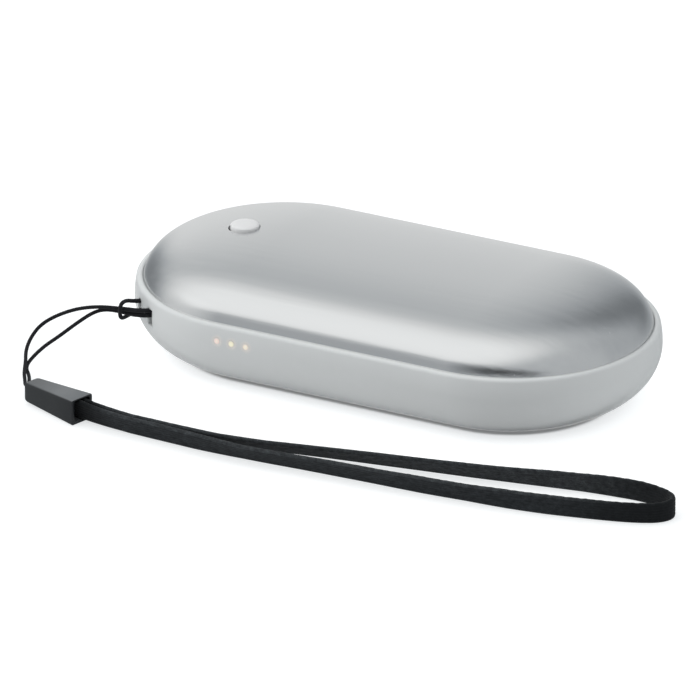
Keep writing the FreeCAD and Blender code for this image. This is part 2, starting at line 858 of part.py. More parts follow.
def cord_route():
    """From the sleeve along the upper strand, in at the front slot, round the bar, out at the other slot,
    round both strands, and back the same way along the lower strand."""
    offset = cord_pair_pitch / 2
    first = [ferrule_point(along, -offset, cord_exit_z) for along in (ferrule_hole_depth, -cord_lead_out)]
    last = [ferrule_point(along, offset, cord_exit_z) for along in (-cord_lead_out, ferrule_hole_depth)]
    upper = [V(-57.2, -45.5, 3.2), V(-58.5, -43.5, 3.7), V(-60.0, -40.2, 4.5), V(-61.4, -37.7, 5.4),
             V(-62.1, -34.8, 6.7), V(-61.4, -32.2, 8.7), V(-59.1, -30.2, 10.4), V(-55.5, -28.1, 11.9),
             V(-51.5, -26.6, 12.6), V(-47.8, -25.0, 12.4)]
    lower = [V(-47.7, -24.3, 11.4), V(-50.5, -25.2, 11.7), V(-52.4, -26.6, 11.3), V(-54.5, -29.0, 9.7),
             V(-57.2, -32.1, 7.2), V(-59.2, -34.5, 5.6), V(-59.9, -38.4, 4.3), V(-59.8, -40.6, 3.4),
             V(-57.2, -43.6, 3.1)]
    through = [V(-43.2, -24.8, 12.6), V(-39.6, -20.9, 12.3), V(-43.3, -17.7, 12.4)]
    bight = [V(-46.5, -21.0, 12.6), V(-47.2, -23.2, 13.5), V(-46.9, -26.1, 13.8), V(-46.9, -26.3, 10.9),
             V(-47.0, -23.7, 10.2), V(-46.6, -21.2, 10.6)]
    back = [V(-43.3, -17.7, 10.7), V(-39.6, -20.9, 11.3), V(-43.2, -24.8, 11.6)]
    return first + upper + through + bight + back + lower + last


def strap_cord():
    return cord_tube("strap_cord", cord_route(), cord_diameter / 2)


def strap_route():
    """One closed loop on edge: out along the front strand and back along the rear one."""
    z = strap_base_z + strap_width / 2
    seat = ferrule_length - ferrule_mouth_depth
    beyond = ferrule_length + ferrule_mouth_depth
    offset = strap_pair_pitch / 2
    near = strap_pair_shift - offset
    far = strap_pair_shift + offset
    first = [ferrule_point(seat, near, z), ferrule_point(beyond, near, z)]
    last = [ferrule_point(beyond, far, z), ferrule_point(seat, far, z)]
    plan = [(-26.0, -52.9), (-8.0, -53.9), (12.5, -52.3), (32.5, -51.4), (52.0, -49.4), (66.0, -46.3),
            (74.5, -43.8), (78.4, -41.4), (79.7, -38.0), (76.8, -35.2), (69.5, -33.9), (58.0, -36.0),
            (42.0, -39.9), (24.0, -43.2), (6.0, -46.5), (-9.0, -49.6), (-24.0, -51.4)]
    return first + [V(x, y, z) for x, y in plan] + last


def wrist_strap():
    points = strap_route()
    path = arc_path("wrist_strap", points)
    across = (points[1] - points[0]).cross(UP)
    across.normalize()
    half = across * (strap_thickness / 2)
    rise = UP * (strap_width / 2)
    offsets = (half + rise, rise - half, half * -1 - rise, half - rise)
    corners = [points[0] + offset for offset in offsets]
    section = Part.makePolygon(corners + corners[:1])
    return swept("wrist_strap", section, path, strap_thickness * strap_width)


# Write one file per node

def parts():
    return {
        "lower_shell": lower_shell(),
        "top_cover": top_cover(),
        "cover_frame": cover_frame(),
        "button_cap": button_cap(),
        "switch_base": switch_base(),
        "switch_stem": switch_stem(),
        "switch_dome": switch_dome(),
        "circuit_board": circuit_board(),
        "board_screws": board_screws(),
        "usb_shell": usb_shell(),
        "usb_tongue": usb_tongue(),
        "led_chips": led_chips(),
        "light_guide": light_guide(),
        "power_inductor": power_inductor(),
        "controller_chip": controller_chip(),
        "charger_chip": charger_chip(),
        "capacitors": capacitors(),
        "battery_cell_front": battery_cell(-1),
        "battery_cell_rear": battery_cell(1),
        "nickel_strip_positive": nickel_strip(cell_start - strip_thickness),
        "nickel_strip_negative": nickel_strip(cell_end),
        "battery_lead_positive": positive_lead(),
        "battery_lead_negative": negative_lead(),
        "foam_pad": foam_pad(),
        "heater_film": heater_film(),
        "heater_leads": heater_leads(),
        "temperature_sensor": temperature_sensor(),
        "sensor_leads": sensor_leads(),
        "strap_cord": strap_cord(),
        "strap_ferrule": strap_ferrule(),
        "wrist_strap": wrist_strap(),
    }


os.makedirs("parts", exist_ok=True)
for node, shape in parts().items():
    print(node, "valid", shape.isValid(), "solids", len(shape.Solids), "volume", round(shape.Volume, 2))
    shape.exportStep("parts/" + node + ".step")
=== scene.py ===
import math

import bmesh
import bpy
import numpy as np
from mathutils import Matrix, Vector
from mathutils.kdtree import KDTree


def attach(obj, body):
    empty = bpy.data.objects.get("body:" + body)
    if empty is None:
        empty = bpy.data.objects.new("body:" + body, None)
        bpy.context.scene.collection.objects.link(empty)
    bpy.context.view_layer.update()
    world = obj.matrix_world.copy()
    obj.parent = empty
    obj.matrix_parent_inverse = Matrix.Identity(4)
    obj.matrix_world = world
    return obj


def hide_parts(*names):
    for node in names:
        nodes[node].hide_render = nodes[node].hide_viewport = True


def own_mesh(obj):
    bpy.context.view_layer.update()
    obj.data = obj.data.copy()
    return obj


# Rechargeable hand warmer. Sizes are in millimetres here and become metres in the meshes.

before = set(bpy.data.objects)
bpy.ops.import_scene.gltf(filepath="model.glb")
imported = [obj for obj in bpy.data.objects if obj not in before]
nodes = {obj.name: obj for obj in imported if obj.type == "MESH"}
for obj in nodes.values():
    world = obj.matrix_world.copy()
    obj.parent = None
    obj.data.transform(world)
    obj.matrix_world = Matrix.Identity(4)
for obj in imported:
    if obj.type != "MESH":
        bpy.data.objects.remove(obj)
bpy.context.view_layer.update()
MM = 0.001

# Camera, from a fit to the photograph
camera_azimuth = math.radians(28.241)
camera_elevation = math.radians(23.356)
camera_distance = 2628.3
camera_shift = (-9.223, 3.514)
camera_lens = 697.45
camera_sensor = 36.0

# Body's plan and cover
half_straight = 24.8
tub_height = 15.0
cover_radius = 27.5
cover_sheet = 0.8
skirt_z = 13.75
skirt_radius = 27.61
skirt_flare = 0.15
dome_height = 8.2
edge_in_share = 0.048
edge_up_share = 0.66
crown_share = 0.75

# Push button
button_x = -33.6
button_radius = 2.85
button_crown_radii = (1.85, 2.7)
button_crown_drop = 0.06
button_edge_drop = 0.45
button_top_z = 23.89
button_flange_radius = 4.2
button_flange_z = (20.7, 21.5)
button_stem_radius = 1.5
button_foot_z = 18.4
button_hole_radius = 3.15
button_hole_shift = (0.13, 0.07)
button_hole_z = (10.0, 30.0)

# Indicator lights
light_places = (-23.9, -20.75, -17.6)
light_z = 11.9
light_tip_y = -29.1
light_cap_y = -29.17
light_pin_radius = 0.5
light_pin_root = 0.3
light_cap_radius = 0.68
light_cap_rise = 0.08
light_bar_y = (-26.9, -25.9)
light_bar_height = 1.0
light_bar_overhang = 1.45
light_bar_bevel = 0.2
light_glow = 0.09
light_glow_reach = (0.6, 1.5)
light_level = 0.48
light_level_reach = (0.1, 0.75)

# Ferrule. Curves are (share of length, share of size), (share of length, inset) and (depth, outset).
ferrule_start = (-54.83, -47.63)
ferrule_turn = math.radians(-16.2)
ferrule_length = 14.3
ferrule_width = 5.6
ferrule_height = 5.2
ferrule_corner = 0.45
ferrule_nose_length = 1.0
ferrule_nose_shares = (0.66, 0.79)
ferrule_nose_curve = ((0, 0.70), (0.04, 0.78), (0.12, 0.84), (0.3, 0.91), (0.62, 0.965), (1.0, 1.0))
ferrule_sleeve_curve = ((0.3, 0), (0.6, 0), (0.985, 0), (0.994, 0.05), (1.0, 0.2))
ferrule_mouth_depth = 2.6
ferrule_mouth_curve = ((0, 0.12), (0.05, 0.03), (0.16, 0), (ferrule_mouth_depth, 0))
ferrule_mouth_corner = 0.4
ferrule_wall = 0.36
ferrule_side_wall = 0.8
ferrule_hole_radius = 0.85
ferrule_hole_depth = 2.0
ferrule_hole_overrun = 1.0
# Where the painted light on the ferrule's top grows, along X
ferrule_painted_light_x = (-56, -44)

# Cord
cord_exit_z = 2.9
cord_diameter = 0.7
cord_fluff = 0.02
cord_swell = 0.11
cord_swell_x = (-48.0, -45.5)
cord_pair_pitch = 0.8
cord_lead_out = 0.9
cord_step = 0.12
cord_sides = 20
cord_strands = 5
cord_lay_length = 2.6
cord_relief = 0.035

# Strap. Waves are (size, rate, phase), painted shades (x, share) and leans (x, degrees).
strap_width = 4.2
strap_thickness = 1.0
strap_edge = 0.4
strap_edge_share = 0.9
strap_edge_dip = 0.03
strap_edge_waves = ((0.03, 4.1, 0), (0.03, 2.3, 1), (0.02, 0.7, 0))
strap_step = 0.2
strap_ribs = 6
strap_rib_points = 5
strap_pick = 0.9
strap_relief = 0.06
strap_base_z = 0.5
strap_floor_gap = 0.01
strap_settles_x = (-41, -30)
strap_pair_pitch = 1.3
strap_pair_shift = 0.45
strap_dark = (0.0045, 0.0056, 0.0066, 1)
strap_light = (0.036, 0.041, 0.046, 1)
# The inner face and edges take this lighter tone as painted light.
strap_inner_painted_light = (0.074, 0.081, 0.087, 1)
# Painted shade: darker inside the ferrule's mouth and towards the bight.
strap_painted_shades = ((-39.5, 0.05), (-33, 1), (56, 1), (75, 0.2))
front_leans = ((-42, 12), (-37, 18), (-32, 22), (-25, 20), (-16, 22), (-5, 34), (6, 32), (14, 28),
               (24, 26), (32, 20), (41, 20), (50, 10), (58, 6), (66, 6), (76, 5), (79, 0))
back_leans = ((-42, 12), (-37, 18), (-32, 22), (-25, 27), (-12, 44), (-2, 47), (8, 44), (20, 39),
              (28, 37), (36, 33), (44, 29), (52, 20), (59, 14), (66, 2), (79, 0))

# Fineness of the meshes
merge_distance = 1e-7
dome_steps = 56
turned_steps = 96
button_crown_steps = 14
route_steps = 24
strap_edge_steps = 8
ferrule_hole_steps = 40
light_pin_steps = 32
light_cap_steps = 8

# Yarn: how round its strands are, and how deep the cross threads notch the strap's ribs
strand_roundness = 0.6
rib_notch = 0.3

# Floor. Reaches are distances from the body's middle line.
floor_half_size = 3000.0
floor_z = -0.02
# The glow near the body and far from it; the raise near the body is painted light.
floor_glows = (0.86, 0.70)
floor_glow_reach = (31.0, 42.0)
# A painted contact shadow and a painted soft shadow round the body, on the floor that is seen.
contact_dark = 0.52
contact_reach = (19.8, 21.2)
contact_left_share = 0.3
contact_x = (-55, -25)
shade_dark = 0.16
shade_reach = (19.5, 26.0)
# The bounce floor's tones draw a painted shadow under the body.
bounce_z = -0.3
bounce_tones = (0.03, 0.95)
bounce_reach = (21.0, 28.5)
bounce_nearer = 3.0
bounce_nearer_x = (15.0, 40.0)
bounce_nearer_y = (-16.0, -4.0)

# Lights, as name, place in metres, side in metres and power in watts
studio_lights = (
    ("overhead", (-0.2, 0.35, 1.5), 1.4, 7.5),
    ("front", (-1.0, -1.05, 0.6), 1.2, 4.2),
    ("left", (-1.3, -0.2, 0.45), 0.8, 1.7),
    ("right", (1.25, 0.45, 0.4), 0.8, 1.1),
)


def make_camera():
    back = Vector((math.sin(camera_azimuth) * math.cos(camera_elevation),
                   -math.cos(camera_azimuth) * math.cos(camera_elevation), math.sin(camera_elevation)))
    right = Vector((math.cos(camera_azimuth), math.sin(camera_azimuth), 0))
    up = back.cross(right)
    data = bpy.data.cameras.new("camera")
    data.sensor_width = camera_sensor
    data.lens = camera_lens
    data.clip_start = 0.1
    data.clip_end = 50.0
    camera = new_object("camera", data)
    camera.location = (back * camera_distance + right * camera_shift[0] + up * camera_shift[1]) * MM
    camera.rotation_mode = "QUATERNION"
    camera.rotation_quaternion = (-back).to_track_quat("-Z", "Y")
    bpy.context.scene.camera = camera


# Mesh helpers

def new_object(name, data):
    piece = bpy.data.objects.new(name, data)
    bpy.context.scene.collection.objects.link(piece)
    return piece


def mesh_from(name, vertices, faces):
    mesh = bpy.data.meshes.new(name)
    mesh.from_pydata([Vector(v) * MM for v in vertices], [], faces)
    mesh.validate()
    mesh.update()
    return mesh


def merged(mesh):
    """Merge doubles and point all faces outward."""
    bm = bmesh.new()
    bm.from_mesh(mesh)
    bmesh.ops.remove_doubles(bm, verts=bm.verts, dist=merge_distance)
    bmesh.ops.dissolve_degenerate(bm, edges=bm.edges, dist=merge_distance)
    bmesh.ops.recalc_face_normals(bm, faces=bm.faces)
    bm.to_mesh(mesh)
    bm.free()
    mesh.update()


def tube_faces(rows, columns):
    """Faces between closed rings of points, one ring after the other."""
    faces = []
    for i in range(rows - 1):
        for j in range(columns):
            here = i * columns + j
            beside = i * columns + (j + 1) % columns
            faces.append((here, beside, beside + columns, here + columns))
    return faces


def capped_tube_faces(rows, columns):
    """The same, with a face across each end."""
    total = rows * columns
    caps = [tuple(range(columns))[::-1], tuple(range(total - columns, total))]
    return tube_faces(rows, columns) + caps


def bezier(points, count):
    t = np.linspace(0, 1, count)[:, None]
    p = np.array(points, float)
    return (1 - t) ** 3 * p[0] + 3 * t * (1 - t) ** 2 * p[1] + 3 * t ** 2 * (1 - t) * p[2] + t ** 3 * p[3]


def line(start, end):
    return np.linspace(start, end, 2)


def stadium_loop(radius, arc_steps, straight_steps):
    """Plan points of the body's outline at a distance from its middle line."""
    points = []
    for side in (1, -1):
        for angle in np.linspace(-math.pi / 2, math.pi / 2, arc_steps + 1):
            x = half_straight + radius * math.cos(angle)
            points.append((side * x, side * radius * math.sin(angle)))
        for x in np.linspace(half_straight, -half_straight, straight_steps + 1)[1:-1]:
            points.append((side * x, side * radius))
    return points


def stadium_mesh(name, profile, arc_steps=72, straight_steps=36):
    """Carry a closed profile, a list of (radius, height) runs, round the body's plan."""
    outline = np.concatenate([run[:-1] for run in profile[:-1]] + [profile[-1]])
    vertices = []
    for radius, z in outline:
        vertices += [(x, y, z) for x, y in stadium_loop(max(radius, 0), arc_steps, straight_steps)]
    mesh = mesh_from(name, vertices, tube_faces(len(outline), len(vertices) // len(outline)))
    merged(mesh)
    return mesh


def stadium_place(point):
    """Distance from the body's middle line and the outward direction there."""
    past = max(abs(point.x) - half_straight * MM, 0) * (1 if point.x > 0 else -1)
    radius = math.hypot(past, point.y)
    outward = Vector((past, point.y, 0)) / radius if radius > 1e-9 else Vector((0, 0, 0))
    return radius, outward


def profile_tree(run, steps=8):
    """A search tree of points along one run of a profile, with the run's normals there."""
    spans = [np.linspace(a, b, steps, endpoint=False) for a, b in zip(run, run[1:])]
    fine = np.concatenate(spans + [run[-1:]]) * MM
    slope = np.gradient(fine, axis=0)
    normal = np.stack([slope[:, 1], -slope[:, 0]], 1)
    normal /= np.linalg.norm(normal, axis=1)[:, None]
    tree = KDTree(len(fine))
    for index, point in enumerate(fine):
        tree.insert((point[0], point[1], 0), index)
    tree.balance()
    return tree, normal


def profile_normals(mesh, profile, tolerance=3e-5):
    """Give faces that lie on the swept profile the profile's exact normals, and leave cut walls flat."""
    face_tolerance = 12 * tolerance
    agreement = 0.9
    trees = [profile_tree(run) for run in profile]
    normals = [None] * len(mesh.loops)
    for face in mesh.polygons:
        places = [stadium_place(mesh.vertices[v].co) for v in face.vertices]
        heights = [mesh.vertices[v].co.z for v in face.vertices]
        middle_radius, middle_outward = stadium_place(face.center)
        best = None
        for tree, normal in trees:
            spot = tree.find((middle_radius, face.center.z, 0))
            across, up = normal[spot[1]]
            direction = middle_outward * across + Vector((0, 0, up))
            agrees = abs(direction.dot(face.normal)) > agreement
            if agrees and spot[2] < face_tolerance and (best is None or spot[2] < best[0]):
                best = (spot[2], tree, normal, 1 if direction.dot(face.normal) > 0 else -1)
        for corner, (radius, outward), z in zip(face.loop_indices, places, heights):
            normals[corner] = face.normal.copy()
            if best is None:
                continue
            spot = best[1].find((radius, z, 0))
            if spot[2] > tolerance:
                continue
            across, up = best[2][spot[1]] * best[3]
            direction = outward * across + Vector((0, 0, up))
            if direction.length > 0.5:
                normals[corner] = direction.normalized()
    mesh.shade_smooth()
    mesh.normals_split_custom_set(normals)


def cut(piece, tool):
    """Cut a throwaway tool object out of a piece."""
    modifier = piece.modifiers.new("cut", "BOOLEAN")
    modifier.operation = "DIFFERENCE"
    modifier.solver = "EXACT"
    modifier.object = tool
    graph = bpy.context.evaluated_depsgraph_get()
    mesh = bpy.data.meshes.new_from_object(piece.evaluated_get(graph))
    piece.modifiers.clear()
    old = piece.data
    piece.data = mesh
    mesh.name = old.name
    bpy.data.meshes.remove(old)
    bpy.data.meshes.remove(tool.data)


def turned_mesh(name, outline, steps):
    """Turn an open (radius, height) outline that starts and ends on the axis."""
    vertices = []
    for radius, z in outline:
        for step in range(steps):
            angle = 2 * math.pi * step / steps
            vertices.append((radius * math.cos(angle), radius * math.sin(angle), z))
    mesh = mesh_from(name, vertices, tube_faces(len(outline), steps))
    merged(mesh)
    return mesh


def drill(radius, low, high, steps):
    """A throwaway cylinder round Z, for a cut."""
    outline = [(0, low), (radius, low), (radius, high), (0, high)]
    return new_object("tool", turned_mesh("tool", outline, steps))


# Textile relief, as a height from 0 to 1

def braid_height(u, v):
    """Strands that cross both ways, over and under in turn."""
    one = u + v
    two = u - v
    over = (math.floor(one) + math.floor(two)) % 2 == 0
    return abs(math.sin(math.pi * (two if over else one))) ** strand_roundness


def rib_height(across, along):
    """Ribs along a ribbon, which the cross threads notch in turn."""
    place = (across + 1) / 2 * strap_ribs
    rib = min(int(place), strap_ribs - 1)
    crown = abs(math.sin(math.pi * (place - rib))) ** strand_roundness
    notch = abs(math.sin(math.pi * (along + rib / 2)))
    return crown * (1 - rib_notch + rib_notch * notch)


# Material helpers

def add_node(tree, kind, inputs=None, **settings):
    node = tree.nodes.new(kind)
    for key, value in settings.items():
        setattr(node, key, value)
    for key, value in (inputs or {}).items():
        if isinstance(value, bpy.types.NodeSocket):
            tree.links.new(value, node.inputs[key])
        else:
            node.inputs[key].default_value = value
    return node


def principled(name, values):
    material = bpy.data.materials.new(name)
    material.use_nodes = True
    shader = material.node_tree.nodes["Principled BSDF"]
    for key, value in values.items():
        shader.inputs[key].default_value = value
    return material, material.node_tree, shader


def grey(level):
    return (level, level, level, 1)


def object_place(tree):
    return add_node(tree, "ShaderNodeTexCoord").outputs["Object"]


def object_point(tree, scale):
    """Object coordinates stretched by a scale on each axis, in features per metre."""
    inputs = {"Vector": object_place(tree), "Scale": scale}
    return add_node(tree, "ShaderNodeMapping", inputs).outputs["Vector"]


def coordinate(tree, vector, name):
    return add_node(tree, "ShaderNodeSeparateXYZ", {"Vector": vector}).outputs[name]


def noise(tree, scale, detail, roughness=0.5):
    """Noise with this many features per metre on each axis."""
    inputs = {"Vector": object_point(tree, scale), "Scale": 1.0, "Detail": detail, "Roughness": roughness}
    return add_node(tree, "ShaderNodeTexNoise", inputs).outputs["Fac"]


def calculated(tree, operation, *values):
    return add_node(tree, "ShaderNodeMath", dict(enumerate(values)), operation=operation).outputs["Value"]


def product(tree, first, *others):
    for other in others:
        first = calculated(tree, "MULTIPLY", first, other)
    return first


def ranged(tree, value, start, end, low, high, kind="SMOOTHSTEP"):
    """Map a value between start and end to a value between low and high, and stop there."""
    inputs = {"Value": value, "From Min": start, "From Max": end, "To Min": low, "To Max": high}
    return add_node(tree, "ShaderNodeMapRange", inputs, interpolation_type=kind).outputs["Result"]


def between(tree, length, limits, low, high):
    """The same for a length, between two limits in millimetres."""
    return ranged(tree, length, limits[0] * MM, limits[1] * MM, low, high)


def spread(tree, value, low, high):
    """Map what a noise mostly gives to a range."""
    return ranged(tree, value, 0.25, 0.75, low, high, kind="LINEAR")


def tint(tree, value, dark, light):
    return add_node(tree, "ShaderNodeMix", {"Factor": value, 6: dark, 7: light}, data_type="RGBA").outputs[2]


def mixed(tree, share, one, two):
    return add_node(tree, "ShaderNodeMix", {"Factor": share, 2: one, 3: two}).outputs[0]


def bumped(tree, height, distance, **under):
    """The normal of a relief, over another normal where one is given."""
    inputs = {"Height": height, "Distance": distance, **under}
    return add_node(tree, "ShaderNodeBump", inputs).outputs["Normal"]


def near_lights(tree, level, rise, reach):
    """A level that rises near each light's tip."""
    place = object_place(tree)
    for x in light_places:
        inputs = {0: place, 1: Vector((x, light_tip_y, light_z)) * MM}
        gap = add_node(tree, "ShaderNodeVectorMath", inputs, operation="DISTANCE").outputs["Value"]
        level = calculated(tree, "ADD", level, between(tree, gap, reach, rise, 0.0))
    return level


# Materials

def brushed_aluminium():
    """Long fine scratches along X, with the gloss spread across them."""
    material, tree, shader = principled("brushed_aluminium", {"Metallic": 1.0, "Anisotropic": 0.55})
    scratches = noise(tree, (30, 3600, 3600), 4.0, roughness=0.6)
    bands = noise(tree, (12, 700, 700), 2.0)
    both = mixed(tree, 0.55, scratches, bands)
    colour = tint(tree, both, (0.79, 0.80, 0.805, 1), (0.90, 0.905, 0.905, 1))
    tree.links.new(colour, shader.inputs["Base Color"])
    tree.links.new(spread(tree, both, 0.20, 0.28), shader.inputs["Roughness"])
    broad = bumped(tree, noise(tree, (90, 1600, 1600), 2.0), 0.000012)
    tree.links.new(bumped(tree, both, 0.000009, Normal=broad), shader.inputs["Normal"])
    tangent = add_node(tree, "ShaderNodeTangent", direction_type="UV_MAP", uv_map="brushing")
    tree.links.new(tangent.outputs["Tangent"], shader.inputs["Tangent"])
    return material


def moulded(name, dark, light, roughness, grain=9000, depth=0.000002):
    """Moulded plastic with a faint grain and a slow drift of tone."""
    material, tree, shader = principled(name, {"Roughness": roughness})
    drift = noise(tree, (60, 60, 60), 2.0)
    fine = noise(tree, (grain, grain, grain), 2.0)
    tree.links.new(tint(tree, drift, dark, light), shader.inputs["Base Color"])
    tree.links.new(spread(tree, fine, roughness * 0.85, roughness * 1.15), shader.inputs["Roughness"])
    tree.links.new(bumped(tree, fine, depth), shader.inputs["Normal"])
    return material


def painted_top_light_plastic():
    """Black satin plastic with its top painted lighter as painted light, more so towards the mouth."""
    material, tree, shader = principled("ferrule_satin", {"Roughness": 0.36})
    facing_up = coordinate(tree, add_node(tree, "ShaderNodeNewGeometry").outputs["Normal"], "Z")
    x = coordinate(tree, object_place(tree), "X")
    fine = noise(tree, (14000, 14000, 14000), 2.0)
    drift = noise(tree, (260, 260, 260), 3.0)
    # Painted light: the top is lighter, more so towards the mouth, with a random drift of tone in it.
    painted_top_light = product(tree, ranged(tree, facing_up, 0.55, 0.97, 0.0, 1.0), spread(tree, drift, 0.85, 1.0),
                    between(tree, x, ferrule_painted_light_x, 0.48, 1.0))
    colour = tint(tree, painted_top_light, (0.014, 0.016, 0.018, 1), (0.178, 0.188, 0.196, 1))
    tree.links.new(colour, shader.inputs["Base Color"])
    tree.links.new(spread(tree, fine, 0.31, 0.41), shader.inputs["Roughness"])
    tree.links.new(bumped(tree, fine, 0.000003), shader.inputs["Normal"])
    return material


def textile(name, dark, light, painted_shades=()):
    """Black yarn: a fibrous tone along the piece, a soft sheen and a few lengths darkened as painted shade,
    as (x, share).
    """
    look = {"Roughness": 0.85, "Specular IOR Level": 0.15, "Sheen Weight": 0.08, "Sheen Roughness": 0.5}
    material, tree, shader = principled(name, look)
    fibre = noise(tree, (2500, 6000, 6000), 3.0)
    patches = noise(tree, (800, 1400, 1400), 2.0)
    tone = product(tree, fibre, spread(tree, patches, 0.45, 1.5))
    x = coordinate(tree, object_place(tree), "X")
    # Painted shade along X, one pair of places at a time.
    for (start, low), (end, high) in zip(painted_shades, painted_shades[1:]):
        tone = product(tree, tone, between(tree, x, (start, end), low, high))
    tree.links.new(tint(tree, tone, dark, light), shader.inputs["Base Color"])
    tree.links.new(bumped(tree, fibre, 0.00002), shader.inputs["Normal"])
    return material


def metal(name, dark, light, roughness):
    """Stamped or plated metal with a rolled grain."""
    material, tree, shader = principled(name, {"Metallic": 1.0, "Roughness": roughness})
    grain = noise(tree, (900, 9000, 9000), 3.0)
    tree.links.new(tint(tree, grain, dark, light), shader.inputs["Base Color"])
    tree.links.new(spread(tree, grain, roughness * 0.8, roughness * 1.2), shader.inputs["Roughness"])
    tree.links.new(bumped(tree, grain, 0.000002), shader.inputs["Normal"])
    return material


def tub_plastic():
    """Glossy white plastic with softened edges, and a painted glow of the lights in it round their pins."""
    look = {"Roughness": 0.24, "Specular IOR Level": 0.45, "Emission Color": (1.0, 0.62, 0.38, 1)}
    material, tree, shader = principled("tub_white", look)
    drift = noise(tree, (45, 45, 45), 2.0)
    fine = noise(tree, (1500, 1500, 1500), 2.0)
    colour = tint(tree, drift, (0.703, 0.720, 0.720, 1), (0.733, 0.750, 0.750, 1))
    tree.links.new(colour, shader.inputs["Base Color"])
    tree.links.new(spread(tree, fine, 0.21, 0.27), shader.inputs["Roughness"])
    soft = add_node(tree, "ShaderNodeBevel", {"Radius": 0.0008}, samples=8).outputs["Normal"]
    tree.links.new(bumped(tree, fine, 0.0000012, Normal=soft), shader.inputs["Normal"])
    # Painted glow of the lights on the tub round their pins.
    painted_glow = near_lights(tree, 0.0, light_glow, light_glow_reach)
    tree.links.new(painted_glow, shader.inputs["Emission Strength"])
    return material


def lit_plastic():
    """Milky plastic that carries warm light to the middle of its tips, each of a slightly different tone."""
    look = {"Roughness": 0.3, "Base Color": (0.72, 0.73, 0.73, 1)}
    material, tree, shader = principled("light_guide_warm", look)
    x = coordinate(tree, object_place(tree), "X")
    share = ranged(tree, x, light_places[0] * MM, light_places[-1] * MM, 0, 1, kind="LINEAR")
    tone = add_node(tree, "ShaderNodeValToRGB", {"Fac": share})
    ramp = tone.color_ramp
    ramp.elements[0].color = (1.0, 0.55, 0.36, 1)
    ramp.elements[1].color = (1.0, 0.72, 0.38, 1)
    ramp.elements.new(0.5).color = (1.0, 0.84, 0.27, 1)
    tree.links.new(tone.outputs["Color"], shader.inputs["Emission Color"])
    level = near_lights(tree, light_glow, light_level - light_glow, light_level_reach)
    tree.links.new(level, shader.inputs["Emission Strength"])
    return material


def board_laminate():
    """Green solder mask with the tracks under it as faint lines."""
    material, tree, shader = principled("board_green", {"Roughness": 0.35})
    inputs = {"Vector": object_point(tree, (700, 700, 700)), "Scale": 1.0}
    cells = add_node(tree, "ShaderNodeTexVoronoi", inputs, feature="DISTANCE_TO_EDGE", distance="MANHATTAN")
    track = ranged(tree, cells.outputs["Distance"], 0.05, 0.12, 1.0, 0.0)
    colour = tint(tree, track, (0.004, 0.050, 0.017, 1), (0.010, 0.105, 0.040, 1))
    tree.links.new(colour, shader.inputs["Base Color"])
    tree.links.new(bumped(tree, track, 0.00002), shader.inputs["Normal"])
    return material


def contact_plastic():
    """The socket's black tongue with gilt contacts side by side."""
    contact_pitch = 0.5
    contacts_reach = 3.0
    material, tree, shader = principled("tongue_contacts", {"Roughness": 0.35})
    y = coordinate(tree, object_place(tree), "Y")
    wave = calculated(tree, "SINE", product(tree, y, math.pi / (contact_pitch * MM)))
    inside = calculated(tree, "LESS_THAN", calculated(tree, "ABSOLUTE", y), contacts_reach * MM)
    strip = product(tree, ranged(tree, calculated(tree, "ABSOLUTE", wave), 0.62, 0.72, 0, 1), inside)
    colour = tint(tree, strip, (0.012, 0.012, 0.013, 1), (0.75, 0.50, 0.20, 1))
    tree.links.new(colour, shader.inputs["Base Color"])
    tree.links.new(strip, shader.inputs["Metallic"])
    return material


# Cover and button

def dome_profile(depth=0.0):
    """The dome's curve from its crown to its edge, on a skin that lies this deep under the outside."""
    radius = cover_radius - depth
    rise = dome_height - depth
    top = tub_height + rise
    shoulder = (radius * (1 - edge_in_share), tub_height + edge_up_share * rise)
    return bezier([(0, top), (radius * crown_share, top), shoulder, (radius, tub_height)], dome_steps)


def planar_uv(mesh, name):
    """U along X and V across it, so that the brushing runs along X."""
    plan_scale = 8
    height_scale = 4
    layer = mesh.uv_layers.new(name=name)
    for loop in mesh.loops:
        point = mesh.vertices[loop.vertex_index].co
        layer.data[loop.index].uv = (point.x * plan_scale, point.y * plan_scale + point.z * height_scale)


def make_cover():
    """The brushed dome with its skirt and the hole for the button."""
    inner_radius = cover_radius - cover_sheet
    flare_z = tub_height - skirt_flare
    profile = [dome_profile(),
               line((cover_radius, tub_height), (skirt_radius, flare_z)),
               line((skirt_radius, flare_z), (skirt_radius, skirt_z)),
               line((skirt_radius, skirt_z), (inner_radius, skirt_z)),
               line((inner_radius, skirt_z), (inner_radius, tub_height)),
               dome_profile(cover_sheet)[::-1]]
    piece = new_object("cover", stadium_mesh("cover", profile))
    tool = drill(button_hole_radius, *button_hole_z, turned_steps)
    tool.location = Vector((button_x - button_hole_shift[0], -button_hole_shift[1], 0)) * MM
    cut(piece, tool)
    profile_normals(piece.data, profile)
    planar_uv(piece.data, "brushing")
    piece.data.materials.clear()
    piece.data.materials.append(brushed_aluminium())
    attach(piece, "housing")
    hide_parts("top_cover")


def make_button():
    """The round cap with its flange and the post under it."""
    crown = bezier([(0, button_top_z), (button_crown_radii[0], button_top_z),
                    (button_crown_radii[1], button_top_z - button_crown_drop),
                    (button_radius, button_top_z - button_edge_drop)], button_crown_steps)
    low, high = button_flange_z
    outline = list(crown)
    outline += [(button_radius, high), (button_flange_radius, high), (button_flange_radius, low)]
    outline += [(button_stem_radius, low), (button_stem_radius, button_foot_z), (0, button_foot_z)]
    mesh = turned_mesh("button", outline, turned_steps)
    mesh.shade_smooth()
    mesh.set_sharp_from_angle(angle=math.radians(40))
    piece = new_object("button", mesh)
    piece.location = Vector((button_x, 0, 0)) * MM
    mesh.materials.append(moulded("button_satin", grey(0.79), grey(0.84), 0.36))
    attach(piece, "button")
    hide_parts("button_cap")


# Lanyard routes, the same points as the CAD model's

